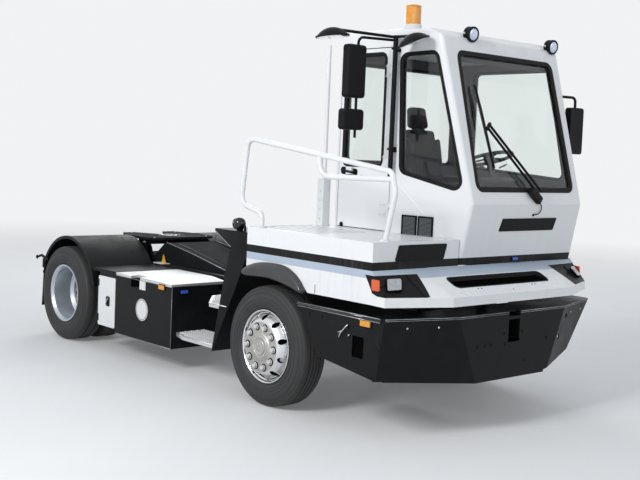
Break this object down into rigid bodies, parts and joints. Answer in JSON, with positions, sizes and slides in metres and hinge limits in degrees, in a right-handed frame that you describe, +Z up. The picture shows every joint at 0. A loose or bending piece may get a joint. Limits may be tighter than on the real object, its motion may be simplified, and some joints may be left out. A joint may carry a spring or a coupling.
{
  "type": "terminal tractor",
  "caption": "Terminal tractor with an offset one-person cab, walking platform, heavy bumper, twin rear wheels and a lifting fifth wheel",
  "frame": {"origin": "on the ground, in the centre plane, below the front axle", "axes": "+X forward, +Y to the vehicle's left, +Z up"},
  "size_m": [5.574, 2.766, 3.3084],
  "materials": {
    "white_paint": "glossy",
    "black_steel": "satin",
    "grey_steel": "matte",
    "black_plastic": "matte",
    "aluminium": "rough",
    "cast_iron": "rough",
    "bright_rim": "polished",
    "tyre_rubber": "matte",
    "green_glass": "clear",
    "lamp_glass": "glossy",
    "amber_lens": "glossy",
    "red_lens": "glossy",
    "seat_cloth": "woven",
    "chromed_rod": "polished"
  },
  "bodies": {
    "chassis": {"chassis_frame": "black_steel", "engine_block": "cast_iron", "front_axle": "black_steel", "rear_axle": "black_steel", "bumper": "black_steel", "front_panel": "white_paint", "front_grille": "black_plastic", "front_lamps": "lamp_glass", "body_side_right": "white_paint", "body_side_left": "white_paint", "platform_deck": "white_paint", "front_mudguards": "black_steel", "treads": "aluminium", "side_tanks": "black_steel", "side_locker": "white_paint", "rear_mudguards": "black_plastic", "rear_lamps": "red_lens", "handrails": "white_paint", "masts": "white_paint", "cab_floor": "white_paint", "cab_front": "white_paint", "cab_quarter": "white_paint", "cab_left": "white_paint", "cab_rear": "white_paint", "cab_roof": "white_paint", "cab_glass": "green_glass", "seat_base": "black_steel", "seat_cushion": "seat_cloth", "seat_back": "seat_cloth", "dashboard": "black_plastic", "roof_lamps": "lamp_glass", "beacon": "amber_lens", "mirrors": "black_plastic", "wiper": "black_steel"},
    "door": {"cab_door": "white_paint", "door_glass": "green_glass"},
    "knuckle_r": {"knuckle_right": "black_steel"},
    "knuckle_l": {"knuckle_left": "black_steel"},
    "front_wheel_r": {"front_rim_right": "bright_rim", "front_tyre_right": "tyre_rubber"},
    "front_wheel_l": {"front_rim_left": "bright_rim", "front_tyre_left": "tyre_rubber"},
    "rear_wheels_r": {"rear_rim_right": "bright_rim", "rear_tyres_right": "tyre_rubber"},
    "rear_wheels_l": {"rear_rim_left": "bright_rim", "rear_tyres_left": "tyre_rubber"},
    "boom": {"lift_boom": "grey_steel"},
    "coupling_plate": {"fifth_wheel": "black_steel"},
    "barrels": {"lift_barrels": "black_steel"},
    "rods": {"lift_rods": "chromed_rod"}
  },
  "joints": [
    {"name": "steer_right", "type": "hinge", "parent": "chassis", "child": "knuckle_r", "pos_m": [0, -0.925, 0.489], "axis": [0, 0, 1], "range_deg": [-40, 40]},
    {"name": "steer_left", "type": "hinge", "parent": "chassis", "child": "knuckle_l", "pos_m": [0, 0.925, 0.489], "axis": [0, 0, 1], "range_deg": [-40, 40]},
    {"name": "roll_front_right", "type": "hinge", "parent": "knuckle_r", "child": "front_wheel_r", "pos_m": [0, -1.0975, 0.489], "axis": [0, 1, 0], "continuous": true},
    {"name": "roll_front_left", "type": "hinge", "parent": "knuckle_l", "child": "front_wheel_l", "pos_m": [0, 1.0975, 0.489], "axis": [0, 1, 0], "continuous": true},
    {"name": "roll_rear_right", "type": "hinge", "parent": "chassis", "child": "rear_wheels_r", "pos_m": [-3.4, -0.9355, 0.489], "axis": [0, 1, 0], "continuous": true},
    {"name": "roll_rear_left", "type": "hinge", "parent": "chassis", "child": "rear_wheels_l", "pos_m": [-3.4, 0.9355, 0.489], "axis": [0, 1, 0], "continuous": true},
    {"name": "door_right", "type": "hinge", "parent": "chassis", "child": "door", "pos_m": [0.5, -0.386, 2.2], "axis": [0, 0, 1], "range_deg": [0, 80]},
    {"name": "boom_lift", "type": "hinge", "parent": "chassis", "child": "boom", "pos_m": [-1.75, 0, 0.76], "axis": [0, 1, 0], "range_deg": [0, 22]},
    {"name": "plate_tilt", "type": "hinge", "parent": "boom", "child": "coupling_plate", "pos_m": [-3.28, 0, 0.945], "axis": [0, 1, 0], "range_deg": [-12, 12]},
    {"name": "cylinder_swing", "type": "hinge", "parent": "chassis", "child": "barrels", "pos_m": [-2.6, 0, 0.33], "axis": [0, 1, 0], "range_deg": [0, 15.14]},
    {"name": "cylinder_stroke", "type": "slide", "parent": "barrels", "child": "rods", "axis": [-0.3552, 0, 0.9348], "range_m": [0, 0.3542]}
  ],
  "couplings": [
    {"joint": "steer_left", "follows": "steer_right", "ratio": 1},
    {"joint": "cylinder_swing", "follows": "boom_lift", "ratio": 0.68736},
    {"joint": "cylinder_stroke", "follows": "boom_lift", "m_per_rad": 0.92189}
  ]
}
